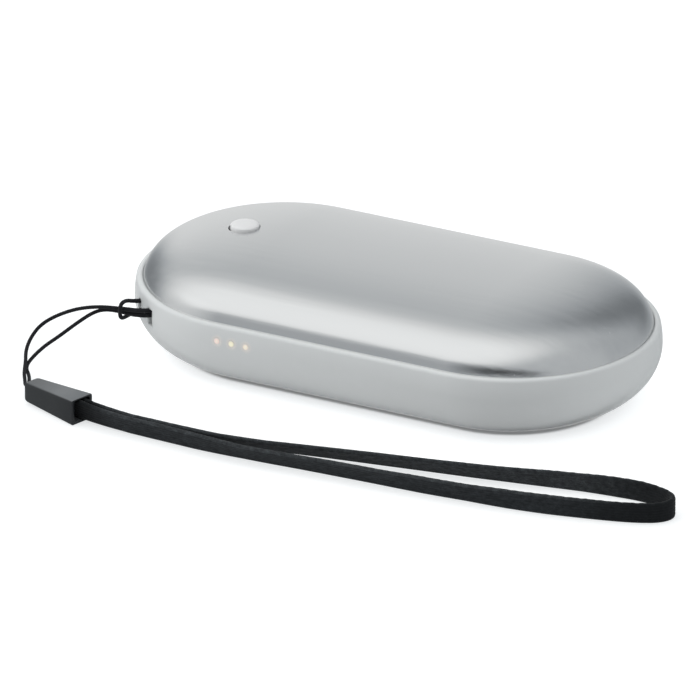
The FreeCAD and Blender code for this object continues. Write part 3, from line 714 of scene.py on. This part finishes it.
def ferrule_point(along, across, z):
    x = ferrule_start[0] + along * math.cos(ferrule_turn) - across * math.sin(ferrule_turn)
    y = ferrule_start[1] + along * math.sin(ferrule_turn) + across * math.cos(ferrule_turn)
    return (x, y, z)


def spline_points(name, points):
    """Points of the smooth line that has the route's points as its controls."""
    data = bpy.data.curves.new(name, "CURVE")
    data.dimensions = "3D"
    data.resolution_u = route_steps
    spline = data.splines.new("NURBS")
    spline.points.add(len(points) - 1)
    for spot, point in zip(spline.points, points):
        spot.co = (point[0] * MM, point[1] * MM, point[2] * MM, 1)
    spline.order_u = 3
    spline.use_endpoint_u = True
    carrier = new_object(name, data)
    bpy.context.view_layer.update()
    mesh = bpy.data.meshes.new_from_object(carrier)
    path = [v.co.copy() for v in mesh.vertices]
    bpy.data.meshes.remove(mesh)
    bpy.data.objects.remove(carrier)
    bpy.data.curves.remove(data)
    return path


def cord_route():
    z = cord_exit_z
    half = cord_pair_pitch / 2
    inside = ferrule_hole_depth
    first = [ferrule_point(inside, -half, z), ferrule_point(-cord_lead_out, -half, z)]
    last = [ferrule_point(-cord_lead_out, half, z), ferrule_point(inside, half, z)]
    upper = [(-57.2, -45.5, 3.2), (-58.5, -43.5, 3.7), (-60.0, -40.2, 4.5), (-61.4, -37.7, 5.4),
             (-62.1, -34.8, 6.7), (-61.4, -32.2, 8.7), (-59.1, -30.2, 10.4), (-55.5, -28.1, 11.9),
             (-51.5, -26.6, 12.6), (-47.8, -25.0, 12.4)]
    lower = [(-47.7, -24.3, 11.4), (-50.5, -25.2, 11.7), (-52.4, -26.6, 11.3), (-54.5, -29.0, 9.7),
             (-57.2, -32.1, 7.2), (-59.2, -34.5, 5.6), (-59.9, -38.4, 4.3), (-59.8, -40.6, 3.4),
             (-57.2, -43.6, 3.1)]
    through = [(-43.2, -24.8, 12.6), (-39.6, -20.9, 12.3), (-43.3, -17.7, 12.4)]
    bight = [(-46.5, -21.0, 12.6), (-47.2, -23.2, 13.5), (-46.9, -26.1, 13.8), (-46.9, -26.3, 10.9),
             (-47.0, -23.7, 10.2), (-46.6, -21.2, 10.6)]
    back = [(-43.3, -17.7, 10.7), (-39.6, -20.9, 11.3), (-43.2, -24.8, 11.6)]
    return first + upper + through + bight + back + lower + last


def strap_route():
    z = strap_base_z + strap_width / 2
    near = strap_pair_shift - strap_pair_pitch / 2
    far = strap_pair_shift + strap_pair_pitch / 2
    inside = ferrule_length - ferrule_mouth_depth
    outside = ferrule_length + ferrule_mouth_depth
    first = [ferrule_point(inside, near, z), ferrule_point(outside, near, z)]
    last = [ferrule_point(outside, far, z), ferrule_point(inside, far, z)]
    plan = [(-26.0, -52.9), (-8.0, -53.9), (12.5, -52.3), (32.5, -51.4), (52.0, -49.4), (66.0, -46.3),
            (74.5, -43.8), (78.4, -41.4), (79.7, -38.0), (76.8, -35.2), (69.5, -33.9), (58.0, -36.0),
            (42.0, -39.9), (24.0, -43.2), (6.0, -46.5), (-9.0, -49.6), (-24.0, -51.4)]
    return first + [(x, y, z) for x, y in plan] + last


def resampled(path, step):
    """The same line at even steps, with its directions."""
    lengths = np.cumsum([0] + [(b - a).length for a, b in zip(path, path[1:])])
    count = max(2, int(round(lengths[-1] / step)) + 1)
    even = np.linspace(0, lengths[-1], count)
    array = np.array([list(p) for p in path])
    points = np.stack([np.interp(even, lengths, array[:, axis]) for axis in range(3)], 1)
    ahead = np.gradient(points, axis=0)
    ahead /= np.linalg.norm(ahead, axis=1)[:, None]
    return even, points, ahead


# Cord, strap and ferrule

def make_cord():
    """A round braid: two sets of strands wind both ways round the line."""
    path = spline_points("cord_line", cord_route())
    even, points, ahead = resampled(path, cord_step * MM)
    normal = Vector((0, 0, 1))
    vertices = []
    for along, point, direction in zip(even / MM, points, ahead):
        direction = Vector(direction)
        normal = (normal - direction * normal.dot(direction)).normalized()
        across = direction.cross(normal)
        fluff = np.interp(point[0] / MM, cord_swell_x, (cord_fluff, cord_swell))
        for side in range(cord_sides):
            angle = 2 * math.pi * side / cord_sides
            turns = cord_strands * angle / (2 * math.pi)
            low = 1 - braid_height(turns, along / cord_lay_length * cord_strands)
            radius = cord_diameter / 2 + fluff - cord_relief * low
            outward = normal * math.cos(angle) + across * math.sin(angle)
            vertices.append(Vector(point) / MM + outward * radius)
    mesh = mesh_from("cord", vertices, capped_tube_faces(len(points), cord_sides))
    mesh.shade_smooth()
    piece = new_object("cord", mesh)
    mesh.materials.append(textile("cord_black", (0.010, 0.010, 0.012, 1), (0.022, 0.022, 0.025, 1)))
    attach(piece, "housing")
    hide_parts("strap_cord")
    return piece, path


def strap_pose(points):
    """Lean of the ribbon toward the front, and the height of its lower edge, at each point of its line."""
    x = points[:, 0] / MM
    front = np.arange(len(points)) <= np.argmax(x)
    lean_front = np.interp(x, *zip(*front_leans))
    lean_back = np.interp(x, *zip(*back_leans))
    lean = np.radians(np.where(front, lean_front, -lean_back))
    base = np.interp(x, strap_settles_x, (strap_base_z, strap_floor_gap))
    return lean, base


def strap_ring(along):
    """Points round the ribbon at a place along it, as (through, across), and its number of outer faces.

    The points run over the ribbed outer face, the uneven upper edge, the inner face and the lower edge.
    """
    half_thick = strap_thickness / 2
    edge_thick = half_thick * strap_edge_share
    flat = strap_width / 2 - strap_edge
    across = np.linspace(-flat, flat, strap_rib_points * strap_ribs + 1)
    turn = np.linspace(0, math.pi, strap_edge_steps)[1:-1]
    loose = sum(size * math.sin(along * rate + phase) for size, rate, phase in strap_edge_waves)
    reach = strap_edge + loose - strap_edge_dip
    picks = along / strap_pick
    outer = [(half_thick - strap_relief * (1 - rib_height(b / flat, picks)), b) for b in across]
    upper = [(edge_thick * math.cos(t), flat + reach * math.sin(t)) for t in turn]
    inner = [(-half_thick + strap_relief * (1 - rib_height(b / flat, picks + 0.5)), b) for b in across[::-1]]
    lower = [(-edge_thick * math.cos(t), -flat - strap_edge * math.sin(t)) for t in turn]
    return outer + upper + inner + lower, len(outer) - 1


def make_strap():
    """A flat woven ribbon, with its inner face and edges painted a little lighter than its outer face, as
    painted light.
    """
    path = spline_points("strap_line", strap_route())
    even, points, ahead = resampled(path, strap_step * MM)
    lean, base = strap_pose(points)
    up = Vector((0, 0, 1))
    vertices = []
    for index, along in enumerate(even / MM):
        sine = math.sin(lean[index])
        cosine = math.cos(lean[index])
        side = Vector((ahead[index][1], -ahead[index][0], 0)).normalized()
        thick = side * cosine - up * sine
        wide = side * sine + up * cosine
        rise = strap_width / 2 * cosine + strap_thickness / 2 * abs(sine) + base[index]
        middle = Vector((points[index][0] / MM, points[index][1] / MM, rise))
        ring, outer_faces = strap_ring(along)
        vertices += [middle + thick * a + wide * b for a, b in ring]
    faces = capped_tube_faces(len(points), len(ring))
    mesh = mesh_from("strap", vertices, faces)
    mesh.materials.append(textile("strap_black", strap_dark, strap_light, strap_painted_shades))
    mesh.materials.append(textile("strap_black_inner_painted_light", strap_dark, strap_inner_painted_light, strap_painted_shades))
    # The inner face and edges take the lighter copy of the yarn: painted light.
    inner = np.arange(len(faces)) % len(ring) >= outer_faces
    mesh.polygons.foreach_set("material_index", inner.astype(np.int32))
    merged(mesh)
    mesh.shade_smooth()
    piece = new_object("strap", mesh)
    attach(piece, "housing")
    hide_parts("wrist_strap")
    return piece, path


def rounded_ring(half_wide, half_high, corner, steps=6):
    """Points of a rectangle with round corners."""
    points = []
    for quarter, (sx, sz) in enumerate(((1, 1), (-1, 1), (-1, -1), (1, -1))):
        for step in range(steps + 1):
            angle = math.pi / 2 * (quarter + step / steps)
            points.append((sx * (half_wide - corner) + corner * math.cos(angle),
                           sz * (half_high - corner) + corner * math.sin(angle)))
    return points


def ferrule_sections():
    """Sections of the sleeve from its nose to its mouth and into the mouth: place, half sizes and corner."""
    half_wide = ferrule_width / 2
    half_high = ferrule_height / 2
    sections = []
    for along, share in ferrule_nose_curve:
        wide, high = [share * nose for nose in ferrule_nose_shares]
        sections.append((along * ferrule_nose_length, half_wide * wide, half_high * high,
                         ferrule_corner * share))
    run = ferrule_length - ferrule_nose_length
    for share, inset in ferrule_sleeve_curve:
        wide, high = [nose + (1 - nose) * share for nose in ferrule_nose_shares]
        sections.append((ferrule_nose_length + run * share, half_wide * wide - inset,
                         half_high * high - inset, ferrule_corner - inset))
    for depth, outset in ferrule_mouth_curve:
        sections.append((ferrule_length - depth, half_wide - ferrule_side_wall + outset,
                         half_high - ferrule_wall + outset, ferrule_mouth_corner + outset))
    return sections


def make_ferrule():
    """A tapered sleeve with a hole in its round nose for the cord and a pocket in its mouth for the strap."""
    middle_z = ferrule_height / 2
    sections = ferrule_sections()
    vertices = []
    for along, wide, high, corner in sections:
        ring = rounded_ring(wide, high, corner)
        vertices += [ferrule_point(along, across, middle_z + z) for across, z in ring]
    mesh = mesh_from("ferrule", vertices, capped_tube_faces(len(sections), len(ring)))
    merged(mesh)
    piece = new_object("ferrule", mesh)
    tool = drill(ferrule_hole_radius, -ferrule_hole_overrun, ferrule_hole_depth, ferrule_hole_steps)
    tool.matrix_world = (Matrix.Translation(Vector(ferrule_point(0, 0, cord_exit_z)) * MM)
                         @ Matrix.Rotation(ferrule_turn, 4, "Z") @ Matrix.Rotation(math.pi / 2, 4, "Y"))
    cut(piece, tool)
    mesh = piece.data
    mesh.shade_smooth()
    mesh.set_sharp_from_angle(angle=math.radians(38))
    mesh.materials.clear()
    mesh.materials.append(painted_top_light_plastic())
    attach(piece, "housing")
    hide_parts("strap_ferrule")
    return piece


# Inside

def make_light_guide():
    """Three round pins with domed tips on a bar behind the wall."""
    bm = bmesh.new()
    low = Vector((light_places[0] - light_bar_overhang, light_bar_y[0], light_z - light_bar_height / 2))
    high = Vector((light_places[-1] + light_bar_overhang, light_bar_y[1], light_z + light_bar_height / 2))
    for vertex in bmesh.ops.create_cube(bm, size=1.0)["verts"]:
        vertex.co = ((low + high) / 2 + vertex.co * (high - low)) * MM
    bmesh.ops.bevel(bm, geom=bm.edges[:], offset=light_bar_bevel * MM, segments=3, affect="EDGES",
                    profile=0.5)
    root_y = light_bar_y[0] + light_pin_root
    outline = [(light_cap_radius * math.sin(t), light_cap_y - light_cap_rise * math.cos(t))
               for t in np.linspace(0, math.pi / 2, light_cap_steps)]
    outline += [(light_pin_radius, light_cap_y), (light_pin_radius, root_y), (0, root_y)]
    angles = np.linspace(0, 2 * math.pi, light_pin_steps, endpoint=False)
    for place in light_places:
        rings = []
        for radius, y in outline:
            plan = [(place + radius * math.cos(a), light_z + radius * math.sin(a)) for a in angles]
            rings.append([bm.verts.new(Vector((x, y, z)) * MM) for x, z in plan])
        for one, two in zip(rings, rings[1:]):
            for j in range(len(one)):
                bm.faces.new((one[j], two[j], two[j - 1], one[j - 1]))
    bmesh.ops.remove_doubles(bm, verts=bm.verts, dist=merge_distance)
    bmesh.ops.recalc_face_normals(bm, faces=bm.faces)
    mesh = bpy.data.meshes.new("light_guide")
    bm.to_mesh(mesh)
    bm.free()
    mesh.shade_smooth()
    mesh.set_sharp_from_angle(angle=math.radians(50))
    piece = new_object("light_guide_lit", mesh)
    mesh.materials.append(lit_plastic())
    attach(piece, "housing")
    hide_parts("light_guide")


def make_snap_dome():
    """The push switch's dome. The real one flattens onto its floor as the button goes down; this copy keeps
    its shape.
    """
    mesh = nodes["switch_dome"].data.copy()
    mesh.materials.clear()
    mesh.materials.append(metal("spring_metal", (0.50, 0.49, 0.46, 1), (0.62, 0.61, 0.58, 1), 0.3))
    piece = new_object("snap_dome", mesh)
    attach(piece, "housing")
    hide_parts("switch_dome")
    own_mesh(piece)


def dress_inside():
    """Materials for the CAD pieces that stay."""
    looks = {
        "lower_shell": tub_plastic(),
        "cover_frame": moulded("frame_grey", (0.44, 0.44, 0.45, 1), (0.52, 0.52, 0.53, 1), 0.5),
        "switch_base": moulded("switch_black", (0.010, 0.010, 0.012, 1), (0.020, 0.020, 0.022, 1), 0.45),
        "circuit_board": board_laminate(),
        "board_screws": metal("screw_metal", (0.40, 0.40, 0.41, 1), (0.52, 0.52, 0.53, 1), 0.35),
        "usb_shell": metal("socket_metal", (0.50, 0.51, 0.52, 1), (0.62, 0.63, 0.64, 1), 0.28),
        "usb_tongue": contact_plastic(),
        "led_chips": moulded("led_resin", (0.72, 0.60, 0.30, 1), (0.85, 0.74, 0.42, 1), 0.25),
        "power_inductor": moulded("ferrite_grey", (0.020, 0.020, 0.022, 1), (0.035, 0.035, 0.037, 1), 0.6),
        "controller_chip": moulded("chip_black", (0.010, 0.010, 0.011, 1), (0.018, 0.018, 0.019, 1), 0.55),
        "capacitors": moulded("capacitor_tan", (0.26, 0.17, 0.09, 1), (0.36, 0.25, 0.14, 1), 0.5),
        "battery_cell_front": moulded("cell_blue", (0.015, 0.085, 0.19, 1), (0.025, 0.12, 0.26, 1), 0.3),
        "nickel_strip_positive": metal("nickel_metal", (0.45, 0.43, 0.39, 1), (0.58, 0.55, 0.50, 1), 0.32),
        "battery_lead_positive": moulded("wire_red", (0.28, 0.006, 0.005, 1), (0.40, 0.010, 0.008, 1), 0.4),
        "battery_lead_negative": moulded("wire_black", grey(0.010), grey(0.020), 0.4),
        "heater_leads": moulded("wire_white", (0.62, 0.62, 0.60, 1), (0.74, 0.74, 0.72, 1), 0.4),
        "foam_pad": moulded("foam_grey", (0.030, 0.030, 0.032, 1), (0.060, 0.060, 0.063, 1), 0.9,
                            grain=3000, depth=0.00006),
        "heater_film": moulded("film_amber", (0.40, 0.13, 0.008, 1), (0.55, 0.20, 0.016, 1), 0.28),
    }
    same = {
        "switch_stem": "switch_base",
        "charger_chip": "controller_chip",
        "temperature_sensor": "controller_chip",
        "battery_cell_rear": "battery_cell_front",
        "nickel_strip_negative": "nickel_strip_positive",
        "sensor_leads": "battery_lead_negative",
    }
    looks.update({node: looks[like] for node, like in same.items()})
    for node, material in looks.items():
        nodes[node].data.materials.clear()
        nodes[node].data.materials.append(material)


# Stage and light

def floor_reach(tree, x, y):
    """Distance on the floor from the body's middle line."""
    past = calculated(tree, "SUBTRACT", calculated(tree, "ABSOLUTE", x), half_straight * MM)
    past = calculated(tree, "MAXIMUM", past, 0.0)
    middle = add_node(tree, "ShaderNodeCombineXYZ", {"X": past, "Y": y}).outputs["Vector"]
    return add_node(tree, "ShaderNodeVectorMath", {0: middle}, operation="LENGTH").outputs["Value"]


def stage_plane(name, z, look):
    """A matt square under the object that the gloss doesn't show, with the place on it along X and Y."""
    half = floor_half_size
    corners = [(-half, -half, z), (half, -half, z), (half, half, z), (-half, half, z)]
    mesh = mesh_from(name, corners, [(0, 1, 2, 3)])
    plane = new_object(name, mesh)
    material, tree, shader = principled(name, {"Roughness": 0.9, "Specular IOR Level": 0.0, **look})
    mesh.materials.append(material)
    plane.visible_glossy = False
    place = object_place(tree)
    return plane, tree, shader, coordinate(tree, place, "X"), coordinate(tree, place, "Y")


def make_floor():
    """The pale floor that is seen. It glows, so that shadows stay weak, with painted light that raises the
    glow near the body and a painted shadow where the body stands.
    """
    look = {"Base Color": grey(0.45), "Emission Color": (0.97, 0.99, 1.0, 1)}
    plane, tree, shader, x, y = stage_plane("floor", floor_z, look)
    plane.visible_diffuse = False
    plane.visible_shadow = False
    reach = floor_reach(tree, x, y)
    # Painted contact shadow and soft shadow round the body, and painted light that raises the glow near it.
    painted_contact_shadow = product(tree, between(tree, reach, contact_reach, contact_dark, 0.0),
                      between(tree, x, contact_x, contact_left_share, 1.0))
    dark = calculated(tree, "ADD", painted_contact_shadow, between(tree, reach, shade_reach, shade_dark, 0.0))
    glow_with_painted_light = between(tree, reach, floor_glow_reach, *floor_glows)
    tree.links.new(calculated(tree, "SUBTRACT", glow_with_painted_light, dark), shader.inputs["Emission Strength"])


def make_bounce():
    """A floor that isn't seen and lights the object from below, with a painted shadow under the body."""
    plane, tree, shader, x, y = stage_plane("bounce", bounce_z, {})
    plane.visible_camera = False
    # Painted shadow: the dark under the body reaches further out at the front right.
    painted_shadow_shift = product(tree, between(tree, x, bounce_nearer_x, 0.0, bounce_nearer * MM),
                     between(tree, y, bounce_nearer_y, 1.0, 0.0))
    reach = calculated(tree, "SUBTRACT", floor_reach(tree, x, y), painted_shadow_shift)
    tree.links.new(between(tree, reach, bounce_reach, *bounce_tones), shader.inputs["Base Color"])


def share_along(tree, direction, axis):
    """Share of a direction along an axis."""
    inputs = {0: direction, 1: Vector(axis).normalized()}
    return add_node(tree, "ShaderNodeVectorMath", inputs, operation="DOT_PRODUCT").outputs["Value"]


def lobe(tree, direction, axis, outer, inner, strength):
    """A round patch of light, or of dark, with a soft border between two angles in degrees."""
    return ranged(tree, share_along(tree, direction, axis), math.cos(math.radians(outer)),
                  math.cos(math.radians(inner)), 0.0, strength)


def front_panels(tree, direction):
    """The light above the front, a straight border, and the dark under it."""
    rim = share_along(tree, direction, (-0.181, 0.533, 0.827))
    edge = ranged(tree, rim, 0.0, 0.055, 0.0, 1.0)
    above = lobe(tree, direction, (-0.35, -0.36, 0.87), 56, 20, 0.44)
    sideways = share_along(tree, direction, (0.965, 0.11, -0.24))
    top = calculated(tree, "ADD", rim, product(tree, sideways, 0.21))
    below = product(tree, ranged(tree, rim, -0.52, -0.32, 0.0, -0.60),
                    ranged(tree, top, -0.17, -0.08, 1.0, 0.0),
                    ranged(tree, sideways, -0.80, 0.20, 0.0, 1.0),
                    ranged(tree, sideways, 0.46, 0.72, 1.0, 0.0))
    return mixed(tree, edge, below, above)


def back_panels(tree, direction):
    """A dark panel and a light one beside it, both behind the object."""
    height = coordinate(tree, direction, "Z")
    behind = ranged(tree, coordinate(tree, direction, "Y"), 0.20, 0.45, 0.0, 1.0)
    border = share_along(tree, direction, (0.957, 0.290, 0.25))
    across = share_along(tree, direction, (0.948, -0.079, 0.309))
    dark = product(tree, behind, ranged(tree, border, -0.04, 0.27, 0.0, -0.30),
                   ranged(tree, across, 0.05, 0.60, 1.0, 0.25),
                   ranged(tree, height, 0.64, 0.92, 1.0, 0.0),
                   ranged(tree, height, -0.25, 0.15, 0.35, 1.0))
    sideways = share_along(tree, direction, (0.931, 0.3435, 0.124))
    light = product(tree, behind, ranged(tree, sideways, -0.08, 0.04, 0.28, 0.0),
                    ranged(tree, sideways, -0.55, -0.28, 0.0, 1.0),
                    ranged(tree, height, 0.24, 0.66, 1.0, 0.10))
    return dark, light


def make_world():
    """A studio round the object: an even grey, a large soft light above, and darker and lighter sides."""
    world = bpy.data.worlds.new("studio")
    world.use_nodes = True
    bpy.context.scene.world = world
    tree = world.node_tree
    direction = add_node(tree, "ShaderNodeTexCoord").outputs["Generated"]
    left = lobe(tree, direction, (-0.92, 0.38, -0.06), 33, 6, -0.27)
    near_left = lobe(tree, direction, (-0.86, -0.42, 0.16), 34, 8, 0.17)
    level = 0.48
    for share in (front_panels(tree, direction), *back_panels(tree, direction), left, near_left):
        level = calculated(tree, "ADD", level, share)
    bright = ranged(tree, level, 0.10, 0.80, 0.0, 1.0)
    background = tree.nodes["Background"]
    tree.links.new(tint(tree, bright, (0.93, 1.0, 1.06, 1), (0.99, 1.0, 1.0, 1)), background.inputs["Color"])
    tree.links.new(calculated(tree, "MAXIMUM", level, 0.03), background.inputs["Strength"])


def make_lights():
    """Soft square lights that face the object and that its gloss doesn't show."""
    for name, place, side, power in studio_lights:
        data = bpy.data.lights.new(name, "AREA")
        data.shape = "RECTANGLE"
        data.size = side
        data.size_y = side
        data.energy = power
        light = new_object(name, data)
        light.location = place
        light.rotation_mode = "QUATERNION"
        light.rotation_quaternion = (-light.location).to_track_quat("-Z", "Y")
        light.visible_glossy = False


make_camera()
cord, cord_path = make_cord()
strap, strap_path = make_strap()
make_cover()
make_button()
ferrule = make_ferrule()
make_light_guide()
make_snap_dome()
dress_inside()
make_floor()
make_bounce()
make_world()
make_lights()

bpy.context.scene.view_settings.view_transform = "Standard"
